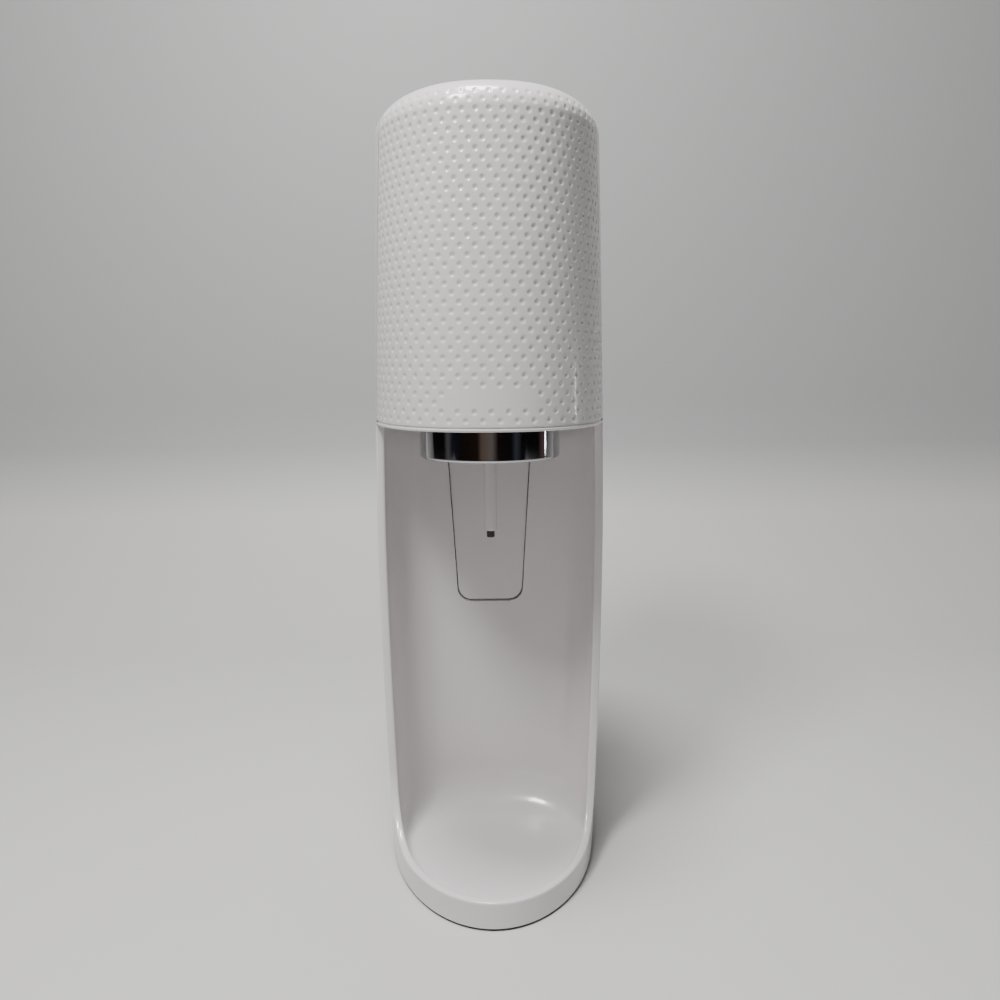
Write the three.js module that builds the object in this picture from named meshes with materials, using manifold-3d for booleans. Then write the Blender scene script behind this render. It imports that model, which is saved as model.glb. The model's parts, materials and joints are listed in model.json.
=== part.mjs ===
// Counter-top soda maker: a tall oval column with an overhanging head, a bottle bay and a gas cylinder.
// Millimetres, +Z up, front towards -Y, origin on the surface it stands on, under the middle of its box.
import * as THREE from 'three';
import { mergeVertices } from 'three/addons/utils/BufferGeometryUtils.js';
import Module from 'manifold-3d';

const wasm = await Module();
wasm.setup();

// ---- Driving dimensions ----
const GAP = 0.3;
const SEGMENTS = 44;

const OVAL_Y = 5.5;               // centre of the oval plan
const WAIST_Z = 200;              // height of the widest section
const WAIST_HALF = 66;            // half width there
const FLOOR_NARROWING = 4;        // half width lost between the waist and the floor
const TOP_NARROWING = 5;          // half width lost between the waist and the top
const FRONT_DEPTH = 98;           // oval centre to the front of the base
const HEAD_SETBACK = 1.5;         // head front behind base front
const HEAD_LEAN = 3.5;            // further setback at the top
const REAR_DEPTH = 87;
const TOP_Z = 426;
const TOP_FILLET = 14;
const SHELL_BOTTOM = 1.5;
const SHELL_WALL = 2.6;

const HEAD_Z = 263;               // lower lip of the head
const HEAD_SEAM_Y = [OVAL_Y - 36, OVAL_Y - 50]; // side seam of the head cover, at its lip and at the cap
const CAP_Z = 420;                // lower edge of the cap that crowns the head
const BACK_SEAM_Y = OVAL_Y + 38;  // side seam between the housing and the back cover

const LIP_Z = 16.5;               // lip of the base
const BOWL_Z = 9;                 // bowl floor
const RIM = 4.5;                  // thickness of the bay's side walls at their edge
const RIM_Y = OVAL_Y - 24;        // front edge of those walls
const SWEEP = 38;                 // radius that carries the edge forward onto the lip
const BAY_REAR_Y = 24;
const BAY_WALL = 2.5;
const BOWL_FRONT_FILLET = 7;
const BOWL_REAR_FILLET = 26;

const AXIS_Y = -18.5;             // bottle, collar and nozzle axis
const COLLAR_R = 39.4;
const COLLAR_Z = [244, 262];
const TUBE_R = 3.55;
const TUBE_END_Z = 201;
const TIP_END_Z = 197;
const PIVOT = { y: -4, z: 274 };  // bottle holder trunnions
const TONGUE_Z = [148, 263];
const TONGUE_HALF = [19.6, 26.4];   // at its bottom and its top
const TONGUE_Y = [24.1, 26.6];
const RECESS_Y = 27.5;

const TANK_Y = 57.5;
const TANK_R = 27;
const TANK_Z = 18;
const SHOULDER_Z = 306;
const NECK_Z = 340;
const VALVE_TOP_Z = 372;
const HOUSING_Z = [358, 396];
const HOUSING_R = 15.5;

const LEVER_Z = [402, 406.5];
const LEVER_PIVOT_Y = 75;
const BUTTON_Y = -18;
const BUTTON_HALF = 33;
const BUTTON_DEPTH = 44;
const BUTTON_TOP = 428;
const BUTTON_SKIRT_Z = 414.5;

const COVER_PIVOT = { y: OVAL_Y + 70, z: 11 };
const COVER_Z = [7, 418.2];
const HOOK_X = 22;
const LATCH_Z = 392;

// ---- Materials ----
const finishes = {
  gloss_white: [0xe9e8e6, 0.16, 0],
  button_white: [0xe4e3e1, 0.2, 0],
  inner_grey: [0x8b8d90, 0.55, 0],
  chrome: [0xc9cbce, 0.07, 1],
  steel: [0xa6a8aa, 0.3, 1],
  brass: [0xb9934b, 0.3, 1],
  tank_paint: [0x3f74a3, 0.35, 0.2],
  rubber: [0x2b2b2c, 0.85, 0],
  dark_plastic: [0x35363a, 0.5, 0],
  hose_clear: [0xd3d6d6, 0.35, 0],
};

function material(name) {
  const [color, roughness, metalness] = finishes[name];
  return new THREE.MeshStandardMaterial({ color, roughness, metalness });
}

// ---- Solids ----
function solid(geometry) {
  const bare = geometry.clone();
  bare.deleteAttribute('normal');
  bare.deleteAttribute('uv');
  const merged = mergeVertices(bare, 1e-4);
  return new wasm.Manifold(new wasm.Mesh({
    numProp: 3,
    vertProperties: new Float32Array(merged.attributes.position.array),
    triVerts: new Uint32Array(merged.index.array),
  }));
}

function geometryOf(body) {
  const mesh = body.getMesh();
  const geometry = new THREE.BufferGeometry();
  geometry.setAttribute('position', new THREE.BufferAttribute(mesh.vertProperties.slice(), 3));
  geometry.setIndex(new THREE.BufferAttribute(mesh.triVerts.slice(), 1));
  geometry.computeVertexNormals();
  return geometry;
}

function box(low, high) {
  const size = high.map((value, axis) => value - low[axis]);
  const middle = high.map((value, axis) => (value + low[axis]) / 2);
  return solid(new THREE.BoxGeometry(...size).translate(...middle));
}

// A rod along one axis ('x', 'y' or 'z') between two stations, at the given place across that axis.
function rod(axis, radius, from, to, across, sides = 14) {
  const geometry = new THREE.CylinderGeometry(radius, radius, to - from, sides);
  geometry.translate(0, (from + to) / 2, 0);
  if (axis === 'x') return solid(geometry.rotateZ(-Math.PI / 2).translate(0, across[0], across[1]));
  if (axis === 'y') return solid(geometry.translate(across[0], 0, across[1]));
  return solid(geometry.rotateX(Math.PI / 2).translate(across[0], across[1], 0));
}

// A turned piece about a vertical axis at depth y; its outline is [radius, height] pairs.
function turned(outline, y = 0, x = 0, sides = 28) {
  const points = outline.map(([radius, height]) => new THREE.Vector2(radius, height));
  const last = outline[outline.length - 1];
  if (outline[0][0] > 0 || last[0] > 0) points.push(points[0].clone());
  const geometry = new THREE.LatheGeometry(points, sides);
  return solid(geometry.rotateX(Math.PI / 2).translate(x, y, 0));
}

// A flat outline in X and Y raised between two heights.
function plate(shape, bottom, top, curveSegments = 12) {
  const geometry = new THREE.ExtrudeGeometry(shape, { depth: top - bottom, bevelEnabled: false, curveSegments });
  return solid(geometry.translate(0, 0, bottom));
}

// A closed skin through level sections that all have the same number of points.
function loft(sections) {
  const count = sections[0].points.length;
  const positions = [];
  const indices = [];
  for (const { z, points } of sections) {
    for (const point of points) positions.push(point.x, point.y, z);
  }
  for (let level = 0; level + 1 < sections.length; level += 1) {
    for (let i = 0; i < count; i += 1) {
      const here = level * count + i;
      const next = level * count + ((i + 1) % count);
      indices.push(here, next, here + count, next, next + count, here + count);
    }
  }
  const top = (sections.length - 1) * count;
  for (const [a, b, c] of THREE.ShapeUtils.triangulateShape(sections[0].points, [])) indices.push(a, c, b);
  for (const [a, b, c] of THREE.ShapeUtils.triangulateShape(sections[sections.length - 1].points, [])) {
    indices.push(top + a, top + b, top + c);
  }
  const geometry = new THREE.BufferGeometry();
  geometry.setAttribute('position', new THREE.Float32BufferAttribute(positions, 3));
  geometry.setIndex(indices);
  return solid(geometry);
}

// ---- The oval plan ----
function halfWidth(z) {
  if (z < WAIST_Z) return WAIST_HALF - FLOOR_NARROWING * ((WAIST_Z - z) / WAIST_Z) ** 2.2;
  return WAIST_HALF - TOP_NARROWING * ((z - WAIST_Z) / (TOP_Z - WAIST_Z)) ** 1.3;
}

function frontDepth(z) {
  const rise = THREE.MathUtils.smoothstep(z, LIP_Z, HEAD_Z);
  const lean = Math.max(0, (z - HEAD_Z) / (TOP_Z - HEAD_Z));
  return FRONT_DEPTH - HEAD_SETBACK * rise - HEAD_LEAN * lean;
}

function rearDepth(z) {
  return REAR_DEPTH - 3 * THREE.MathUtils.smoothstep(z, 320, TOP_Z);
}

function frontPower(z) {
  return 1.98 + 0.32 * THREE.MathUtils.smoothstep(z, 0, HEAD_Z);
}

const REAR_POWER = 2.6;

// Point of a superellipse quadrant pair: angle 0 faces along -Y for a front, +Y for a rear.
function ovalPoint(angle, half, depth, power, side) {
  const sine = Math.sin(angle);
  const cosine = Math.max(0, Math.cos(angle));
  const x = half * Math.sign(sine) * Math.abs(sine) ** (2 / power);
  return new THREE.Vector2(x, side * depth * cosine ** (2 / power));
}

function ovalSection(z, inset) {
  const half = halfWidth(z) - inset;
  const points = [];
  for (let i = 0; i < SEGMENTS / 2; i += 1) {
    const angle = -Math.PI / 2 + (Math.PI * i) / (SEGMENTS / 2);
    points.push(ovalPoint(angle, half, frontDepth(z) - inset, frontPower(z), -1));
  }
  for (let i = 0; i < SEGMENTS / 2; i += 1) {
    const angle = Math.PI / 2 - (Math.PI * i) / (SEGMENTS / 2);
    points.push(ovalPoint(angle, half, rearDepth(z) - inset, REAR_POWER, 1));
  }
  for (const point of points) point.y += OVAL_Y;
  return points;
}

// Inset that rounds an edge of the given radius, at a distance past the start of the rounding.
function rounding(radius, distance) {
  const along = THREE.MathUtils.clamp(distance, 0, radius);
  return radius - Math.sqrt(radius * radius - along * along);
}

function ovalLoft(inset, bottom, top) {
  const start = TOP_Z - TOP_FILLET;
  const levels = [bottom, 60, 125, WAIST_Z, HEAD_Z, 345, start];
  for (const share of [0.45, 0.8, 1]) levels.push(start + share * (top - start));
  const sections = levels.map((z) => {
    const edge = rounding(TOP_FILLET, ((z - start) * TOP_FILLET) / (top - start));
    return { z, points: ovalSection(Math.min(z, TOP_Z), inset + edge * (1 - inset / TOP_FILLET)) };
  });
  return loft(sections);
}

const outer = ovalLoft(0, SHELL_BOTTOM, TOP_Z);
const inner = ovalLoft(SHELL_WALL, SHELL_BOTTOM - 1, TOP_Z - SHELL_WALL);

function slab(lowY, highY, lowZ, highZ) {
  return box([-100, lowY, lowZ], [100, highY, highZ]);
}

// ---- Bottle bay ----
// Plan of the bay at one height: the front follows the base's outline, the rear is a shallow niche.
function baySection(z, grow, front, rear) {
  const inset = RIM - grow + front;
  const half = halfWidth(z) - inset;
  const depth = FRONT_DEPTH - inset;
  const power = frontPower(z);
  const reach = (OVAL_Y - RIM_Y) / depth;
  const limit = Math.acos(reach ** (power / 2));
  const steps = SEGMENTS / 2;
  const points = [];
  for (let i = 0; i < steps; i += 1) {
    const point = ovalPoint(-limit + (2 * limit * i) / steps, half, depth, power, -1);
    points.push(new THREE.Vector2(point.x, point.y + OVAL_Y));
  }
  const width = ovalPoint(limit, half, depth, power, -1).x;
  for (let i = 0; i < steps; i += 1) {
    const angle = Math.PI / 2 - (Math.PI * i) / steps;
    const point = ovalPoint(angle, width, BAY_REAR_Y + grow - rear - RIM_Y, 2.5, 1);
    points.push(new THREE.Vector2(point.x, point.y + RIM_Y));
  }
  return points;
}

function bayLoft(grow, top) {
  const bottom = BOWL_Z - grow;
  const levels = [0, 1, 3.5, 7, 13, 26, 90, 190].map((rise) => bottom + rise);
  levels.push(top);
  return loft(levels.map((z) => {
    const front = rounding(BOWL_FRONT_FILLET, BOWL_FRONT_FILLET - (z - bottom));
    const rear = rounding(BOWL_REAR_FILLET, BOWL_REAR_FILLET - (z - bottom));
    return { z, points: baySection(z, grow, front, rear) };
  }));
}

// Everything in front of the side walls' edges, seen from the side and run across the whole width.
function bayProfile() {
  const shape = new THREE.Shape();
  const top = HEAD_Z;
  shape.moveTo(-150, LIP_Z);
  shape.lineTo(RIM_Y - SWEEP, LIP_Z);
  shape.absarc(RIM_Y - SWEEP, LIP_Z + SWEEP, SWEEP, -Math.PI / 2, 0, false);
  shape.lineTo(RIM_Y, top - 6);
  shape.absarc(RIM_Y - 6, top - 6, 6, 0, Math.PI / 2, false);
  shape.lineTo(-150, top);
  return across(shape);
}

// An outline drawn in Y and Z, carried over the whole width.
function across(shape) {
  const geometry = new THREE.ExtrudeGeometry(shape, { depth: 200, bevelEnabled: false, curveSegments: 10 });
  return solid(geometry.rotateX(Math.PI / 2).rotateZ(Math.PI / 2).translate(-100, 0, 0));
}

// Everything in front of the head's side seam, which leans forward as it rises.
function aheadOfSeam(gap, bottom) {
  const [low, high] = HEAD_SEAM_Y;
  const shape = new THREE.Shape();
  shape.moveTo(-150, bottom);
  shape.lineTo(low - gap, bottom);
  shape.lineTo(low - gap, HEAD_Z);
  shape.lineTo(high - gap, CAP_Z);
  shape.lineTo(high - gap, TOP_Z + 1);
  shape.lineTo(-150, TOP_Z + 1);
  return across(shape);
}

function tongueShape(margin) {
  const [low, high] = TONGUE_Z;
  const corner = 8;
  const [narrow, wide] = TONGUE_HALF.map((half) => half + margin);
  const shape = new THREE.Shape();
  shape.moveTo(-narrow + corner, low - margin);
  shape.lineTo(narrow - corner, low - margin);
  shape.quadraticCurveTo(narrow, low - margin, narrow + 0.3, low - margin + corner);
  shape.lineTo(wide, high);
  shape.lineTo(-wide, high);
  shape.lineTo(-narrow - 0.3, low - margin + corner);
  shape.quadraticCurveTo(-narrow, low - margin, -narrow + corner, low - margin);
  return shape;
}

// An outline drawn in X and Z, given depth along Y.
function upright(shape, from, to, curveSegments = 6) {
  const geometry = new THREE.ExtrudeGeometry(shape, { depth: to - from, bevelEnabled: false, curveSegments });
  return solid(geometry.rotateX(Math.PI / 2).translate(0, to, 0));
}

function housing() {
  const backing = box([-32, BAY_REAR_Y - 4, TONGUE_Z[0] - 5], [32, RECESS_Y + 1.4, HEAD_Z + 1]);
  const hollow = inner.subtract(bayLoft(BAY_WALL, HEAD_Z + 1)).subtract(backing);
  const topHalf = TONGUE_HALF[1] + 1.2;
  const recessTop = box([-topHalf, 10, HEAD_Z - 30], [topHalf, RECESS_Y, HEAD_Z + 5]);
  const recess = upright(tongueShape(1.2), 10, RECESS_Y).add(recessTop);
  return outer
    .subtract(hollow)
    .subtract(bayLoft(0, HEAD_Z + 2))
    .subtract(bayProfile())
    .subtract(recess)
    .subtract(slab(BACK_SEAM_Y, 150, -10, 500))
    .subtract(aheadOfSeam(0, HEAD_Z - 0.01))
    .subtract(slab(-150, 150, CAP_Z - GAP, 500));
}

// ---- Head ----
// Plan of the button, grown by a margin.
function buttonOval(margin) {
  const shape = new THREE.Shape();
  shape.absellipse(0, BUTTON_Y, BUTTON_HALF + margin, BUTTON_DEPTH + margin, 0, 2 * Math.PI, false);
  return shape;
}

function headCover() {
  const well = plate(buttonOval(0.6), BUTTON_SKIRT_Z - 8, TOP_Z + 5);
  const sleeve = plate(buttonOval(2.6), BUTTON_SKIRT_Z - 4, TOP_Z - 1);
  const front = aheadOfSeam(GAP, HEAD_Z);
  const cap = slab(-150, 150, CAP_Z, TOP_Z + 1);
  return outer.subtract(inner).intersect(front.add(cap)).add(sleeve).subtract(well);
}

function headFloor() {
  const inset = SHELL_WALL + 0.4;
  const section = ovalSection(HEAD_Z + 2, inset);
  const sheet = loft([HEAD_Z + 1.3, HEAD_Z + 3.8].map((z) => ({ z, points: section })));
  const opening = new THREE.Shape();
  const half = 43;
  opening.moveTo(half, 40);
  opening.lineTo(half, AXIS_Y - 4);
  opening.absarc(0, AXIS_Y - 4, half, 0, -Math.PI, true);
  opening.lineTo(-half, 40);
  return sheet.subtract(plate(opening, HEAD_Z, HEAD_Z + 6)).subtract(slab(20, 150, 0, 500));
}

// ---- Back cover and its latch ----
function backCover() {
  const region = slab(BACK_SEAM_Y + GAP, 150, COVER_Z[0], COVER_Z[1]);
  const hooks = [-1, 1].map((side) => {
    const x = side * HOOK_X;
    const tab = box([x - 2.5, COVER_PIVOT.y - 3.6, COVER_Z[0]], [x + 2.5, 87, COVER_PIVOT.z + 3.6]);
    return tab.subtract(rod('x', 2.2, -60, 60, [COVER_PIVOT.y, COVER_PIVOT.z]));
  });
  const latchHole = upright(latchShape(0.4), 70, 110);
  const shell = outer.subtract(inner).intersect(region).subtract(latchHole);
  return hooks.reduce((body, tab) => body.add(tab), shell);
}

function coverHingePin() {
  return rod('x', 1.6, -HOOK_X - 8, HOOK_X + 8, [COVER_PIVOT.y, COVER_PIVOT.z], 16);
}

function latchShape(margin) {
  const half = 7 + margin;
  const shape = new THREE.Shape();
  shape.moveTo(-8, LATCH_Z - half);
  shape.lineTo(8, LATCH_Z - half);
  shape.absarc(8, LATCH_Z, half, -Math.PI / 2, Math.PI / 2, false);
  shape.lineTo(-8, LATCH_Z + half);
  shape.absarc(-8, LATCH_Z, half, Math.PI / 2, (3 * Math.PI) / 2, false);
  return shape;
}

function latchButton() {
  const face = OVAL_Y + rearDepth(LATCH_Z) + 1.2;
  const stem = box([-4, face - 12, LATCH_Z - 3], [4, face - 6, LATCH_Z + 3]);
  return upright(latchShape(0), face - 7, face).add(stem);
}

// ---- Base ----
const FOOT_PLACES = [[-34, -52], [34, -52], [-36, 48], [36, 48]];
const BASE_SCREW_PLACES = [[-22, -70], [22, -70], [-50, 20], [50, 20]];

function basePlate() {
  const section = ovalSection(SHELL_BOTTOM, SHELL_WALL + GAP);
  const sheet = loft([SHELL_BOTTOM, SHELL_BOTTOM + 2.5].map((z) => ({ z, points: section })));
  const rearEdge = COVER_PIVOT.y + 4;
  const ears = [-1, 1].map((side) => {
    const x = side * (HOOK_X + 5);
    return box([x - 2, COVER_PIVOT.y - 5, SHELL_BOTTOM + 2], [x + 2, rearEdge - 1, COVER_PIVOT.z + 3.5]);
  });
  const pinHole = rod('x', 1.9, -60, 60, [COVER_PIVOT.y, COVER_PIVOT.z]);
  const body = ears.reduce((all, ear) => all.add(ear), sheet.subtract(slab(rearEdge, 150, -5, 20)));
  const holes = BASE_SCREW_PLACES.map((place) => rod('z', 2, -5, 20, place, 12));
  return holes.reduce((all, hole) => all.subtract(hole), body.subtract(pinHole));
}

function foot([x, y]) {
  return turned([[0, 0], [6.4, 0], [7, 0.5], [7, SHELL_BOTTOM - GAP], [0, SHELL_BOTTOM - GAP]], y, x, 14);
}

function baseScrew([x, y]) {
  const under = SHELL_BOTTOM - GAP;
  const outline = [[0, under - 0.9], [3, under - 0.9], [3, under], [1.6, under], [1.6, 5.4], [0, 5.4]];
  return turned(outline, y, x, 12);
}

// ---- Bottle holder ----
function collarRing() {
  const [low, high] = COLLAR_Z;
  const inside = [[-3, high], [-3, low + 1.2], [-2.4, low + 0.3], [-1.4, low]];
  const outside = [[-0.7, low + 0.3], [-0.1, low + 1.4], [0, low + 3], [0, high]];
  return turned([...inside, ...outside].map(([depth, z]) => [COLLAR_R + depth, z]), AXIS_Y, 0, 40);
}

function holderBody() {
  const low = COLLAR_Z[1] + GAP;
  const disc = turned([[13.5, low], [39, low], [39, low + 5.5], [13.5, low + 5.5]], AXIS_Y);
  const bosses = [-1, 1].map((side) => {
    const ends = [side * 33, side * 41].sort((a, b) => a - b);
    const block = box([ends[0], PIVOT.y - 6, low + 5], [ends[1], PIVOT.y + 6, PIVOT.z + 6]);
    return block.subtract(rod('x', 3 + GAP, -60, 60, [PIVOT.y, PIVOT.z]));
  });
  return disc.add(bosses[0]).add(bosses[1]);
}

function tongue() {
  const sheet = upright(tongueShape(0), TONGUE_Y[0], TONGUE_Y[1]);
  const root = box([-24, COLLAR_R + AXIS_Y + 0.6, COLLAR_Z[0] + 6], [24, TONGUE_Y[0] + 0.5, TONGUE_Z[1]]);
  return sheet.add(root);
}

function trunnion(side) {
  const ends = [side * 34, side * 47].sort((a, b) => a - b);
  return rod('x', 3, ends[0], ends[1], [PIVOT.y, PIVOT.z]);
}

function nozzleBlock() {
  const low = COLLAR_Z[1] + GAP;
  const barrel = turned([[0, low], [12.8, low], [12.8, 284], [10.5, 286], [0, 286]], AXIS_Y, 0, 24);
  const arm = box([-8, AXIS_Y + 6, 270], [8, PIVOT.y + 6, 280]);
  return barrel.add(arm).subtract(rod('z', 2.4, 250, 282, [0, AXIS_Y], 16));
}

function bottleSeal() {
  const low = COLLAR_Z[1] - 6;
  const bore = TUBE_R + GAP;
  return turned([[bore, low + 6], [bore, low + 1], [9, low], [13, low + 1], [13, low + 6]], AXIS_Y, 0, 24);
}

function nozzleTube() {
  return turned([[1.6, COLLAR_Z[1]], [1.6, TUBE_END_Z], [TUBE_R - 0.5, TUBE_END_Z], [TUBE_R, TUBE_END_Z + 1],
    [TUBE_R, COLLAR_Z[1]]], AXIS_Y, 0, 16);
}

function nozzleTip() {
  return turned([[0.6, TUBE_END_Z - GAP], [0.6, TIP_END_Z], [1.5, TIP_END_Z], [2.1, TIP_END_Z + 1],
    [2.3, TUBE_END_Z - GAP]], AXIS_Y, 0, 12);
}

const JAW_PIVOT = { x: 8, y: AXIS_Y + 20 };
const JAW_Z = [247, 252.5];

function jaw(side) {
  const shape = new THREE.Shape();
  const outerEnd = THREE.MathUtils.degToRad(78);
  shape.absarc(0, 0, 21, -outerEnd, outerEnd, false);
  shape.absarc(0, 0, 16, outerEnd, -outerEnd, true);
  const arc = plate(shape, JAW_Z[0], JAW_Z[1], 14);
  const eye = rod('z', 4, JAW_Z[0], JAW_Z[1], [JAW_PIVOT.x, JAW_PIVOT.y - AXIS_Y]);
  const hole = rod('z', 1.8, 200, 300, [JAW_PIVOT.x, JAW_PIVOT.y - AXIS_Y], 12);
  const right = arc.add(eye).subtract(hole);
  return right.scale([side, 1, 1]).translate([0, AXIS_Y, 0]);
}

function jawPin(side) {
  return rod('z', 1.5, JAW_Z[0] - 1, COLLAR_Z[1], [side * JAW_PIVOT.x, JAW_PIVOT.y], 12);
}

// ---- Inner frame ----
const CHASSIS_Y = [25.5, 28.5];

function chassis() {
  const low = HEAD_Z + 4.1;
  const back = box([-50, CHASSIS_Y[0], low], [50, CHASSIS_Y[1], 396]);
  const window = box([-13, 20, 374], [13, 35, 394]);
  const ears = [-1, 1].map((side) => {
    const ends = [side * 42.5, side * 46].sort((a, b) => a - b);
    return box([ends[0], PIVOT.y - 7, low], [ends[1], CHASSIS_Y[0] + 1, PIVOT.z + 7]);
  });
  const arms = [-1, 1].map((side) => {
    const ends = [side * 17, side * 20].sort((a, b) => a - b);
    return box([ends[0], CHASSIS_Y[1] - 1, 378], [ends[1], LEVER_PIVOT_Y + 6, 411]);
  });
  const hole = rod('x', 3 + GAP, -80, 80, [PIVOT.y, PIVOT.z]);
  const leverHole = rod('x', 1.9, -80, 80, [LEVER_PIVOT_Y, (LEVER_Z[0] + LEVER_Z[1]) / 2], 16);
  return [...ears, ...arms].reduce((body, piece) => body.add(piece), back.subtract(window)).subtract(hole)
    .subtract(leverHole);
}

function guidePlate() {
  const shape = new THREE.Shape();
  shape.moveTo(-32, CHASSIS_Y[0] - 4);
  shape.lineTo(-32, BUTTON_Y - 18);
  shape.absarc(-22, BUTTON_Y - 18, 10, Math.PI, 1.5 * Math.PI, false);
  shape.absarc(22, BUTTON_Y - 18, 10, -Math.PI / 2, 0, false);
  shape.lineTo(32, CHASSIS_Y[0] - 4);
  shape.lineTo(9, CHASSIS_Y[0] - 4);
  shape.lineTo(9, BUTTON_Y - 8);
  shape.lineTo(-9, BUTTON_Y - 8);
  shape.lineTo(-9, CHASSIS_Y[0] - 4);
  return plate(shape, 396.3, 399.3, 5);
}

// ---- Button, lever and actuator ----
function button() {
  const rimZ = BUTTON_TOP - 1.6;
  const sections = [BUTTON_SKIRT_Z, rimZ, BUTTON_TOP - 0.5, BUTTON_TOP].map((z, level) => {
    const inset = [0, 0, 1, 3][level];
    return { z, points: buttonOval(-inset).getPoints(16).slice(0, -1) };
  });
  const hollow = plate(buttonOval(-2.2), BUTTON_SKIRT_Z - 1, BUTTON_TOP - 2.6);
  const low = LEVER_Z[1] + 0.6;
  const high = BUTTON_TOP - 2;
  const stem = turned([[0, low], [2, low], [4, low + 2.4], [4, high], [0, high]], BUTTON_Y, 0, 20);
  return loft(sections).subtract(hollow).add(stem);
}

const SPRING_X = 20;
const SPRING_Z = [400.2, BUTTON_TOP - 3.6];

// Helix of round wire, standing on a vertical axis.
class Helix extends THREE.Curve {
  constructor(radius, low, high, turns) {
    super();
    Object.assign(this, { radius, low, high, turns });
  }

  getPoint(share) {
    const angle = 2 * Math.PI * this.turns * share;
    const height = this.low + (this.high - this.low) * share;
    return new THREE.Vector3(this.radius * Math.cos(angle), this.radius * Math.sin(angle), height);
  }
}

function circle(radius, sides) {
  const points = [];
  for (let i = 0; i < sides; i += 1) {
    const angle = (2 * Math.PI * i) / sides;
    points.push(new THREE.Vector2(radius * Math.cos(angle), radius * Math.sin(angle)));
  }
  return new THREE.Shape(points);
}

function buttonSpring(side) {
  const path = new Helix(5, SPRING_Z[0] + 0.5, SPRING_Z[1] - 0.5, 4);
  const wire = new THREE.ExtrudeGeometry(circle(0.55, 4), { steps: 44, extrudePath: path, bevelEnabled: false });
  return solid(wire.translate(side * SPRING_X, BUTTON_Y, 0));
}

function lever() {
  const middle = (LEVER_Z[0] + LEVER_Z[1]) / 2;
  const bar = box([-5, BUTTON_Y - 5, LEVER_Z[0]], [5, LEVER_PIVOT_Y, LEVER_Z[1]]);
  const boss = rod('x', 4.2, -8, 8, [LEVER_PIVOT_Y, middle]);
  return bar.add(boss).subtract(rod('x', 1.9, -20, 20, [LEVER_PIVOT_Y, middle], 16));
}

function leverPin() {
  return rod('x', 1.6, -21, 21, [LEVER_PIVOT_Y, (LEVER_Z[0] + LEVER_Z[1]) / 2], 16);
}

function actuatorPin() {
  const low = VALVE_TOP_Z + 0.6;
  const high = LEVER_Z[0] - 0.5;
  const outline = [[0, low], [1.6, low], [1.6, 397], [3, 398], [3, high - 0.5], [1.2, high], [0, high]];
  return turned(outline, TANK_Y, 0, 16);
}

// ---- Gas side ----
function valveHousing() {
  const [low, high] = HOUSING_Z;
  const roof = VALVE_TOP_Z + 4.2;
  const socket = [[2, high], [2, roof], [11.2, roof], [11.2, low]];
  return turned([...socket, [HOUSING_R, low], [HOUSING_R, high - 2], [HOUSING_R - 2, high]], TANK_Y, 0, 24);
}

function valveSeal() {
  const low = VALVE_TOP_Z + 1.5;
  return turned([[2.4, low], [9, low], [9, low + 2.4], [2.4, low + 2.4]], TANK_Y, 0, 24);
}

function reliefValve() {
  const start = HOUSING_R + GAP;
  const axis = [TANK_Y, HOUSING_Z[0] + 10];
  return rod('x', 4, start, start + 5, axis, 6).add(rod('x', 2.6, start + 4, start + 11, axis, 12));
}

function outletFitting() {
  const face = TANK_Y - HOUSING_R - GAP;
  return rod('y', 4.5, face - 5, face, [0, 386], 6).add(rod('y', 2.6, 22, face - 4, [0, 386], 16));
}

function inletElbow() {
  const x = 22;
  const inlet = rod('x', 4, 8.4, x + 3, [PIVOT.y, PIVOT.z + 1], 16);
  const riser = rod('z', 3.6, PIVOT.z + 1, PIVOT.z + 10, [x, PIVOT.y], 16);
  const barb = rod('z', 2.6, PIVOT.z + 9, PIVOT.z + 16, [x, PIVOT.y], 16);
  return inlet.add(riser).add(barb);
}

function gasHose() {
  const route = new THREE.CatmullRomCurve3([
    new THREE.Vector3(0, 21.7, 386),
    new THREE.Vector3(0, 10, 386),
    new THREE.Vector3(4, -2, 376),
    new THREE.Vector3(18, -8, 345),
    new THREE.Vector3(24, -6, 315),
    new THREE.Vector3(22, PIVOT.y, 298),
    new THREE.Vector3(22, PIVOT.y, PIVOT.z + 16.3),
  ]);
  return solid(new THREE.ExtrudeGeometry(circle(2.8, 8), { steps: 26, extrudePath: route, bevelEnabled: false }));
}

function tankBody() {
  const outline = [[0, TANK_Z + 6], [14, TANK_Z + 3], [20, TANK_Z], [23, TANK_Z + 0.6]];
  outline.push([TANK_R - 1.5, TANK_Z + 3], [TANK_R, TANK_Z + 8], [TANK_R, SHOULDER_Z]);
  for (const share of [0.25, 0.5, 0.75, 1]) {
    const angle = (share * Math.PI) / 2;
    const radius = 12.5 + (TANK_R - 12.5) * Math.cos(angle);
    outline.push([radius, SHOULDER_Z + (NECK_Z - SHOULDER_Z) * Math.sin(angle)]);
  }
  outline.push([0, NECK_Z]);
  return turned(outline, TANK_Y, 0, 32);
}

function tankValve() {
  const low = NECK_Z + GAP;
  const high = VALVE_TOP_Z;
  const body = [[0, low], [12, low], [12, low + 8], [8, low + 9.5], [8, low + 13], [10.4, low + 14]];
  const mouth = [[10.4, high], [2.2, high], [2.2, high - 8], [0, high - 8]];
  return turned([...body, ...mouth], TANK_Y, 0, 32);
}

function tankPin() {
  const low = VALVE_TOP_Z - 5.7;
  const high = VALVE_TOP_Z + 0.2;
  return turned([[0, low], [1.4, low], [1.4, high], [0, high]], TANK_Y, 0, 12);
}

// ---- Assembly ----
const group = new THREE.Group();

function place(name, body, finish) {
  const mesh = new THREE.Mesh(geometryOf(body), material(finish));
  mesh.name = name;
  group.add(mesh);
}

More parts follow.
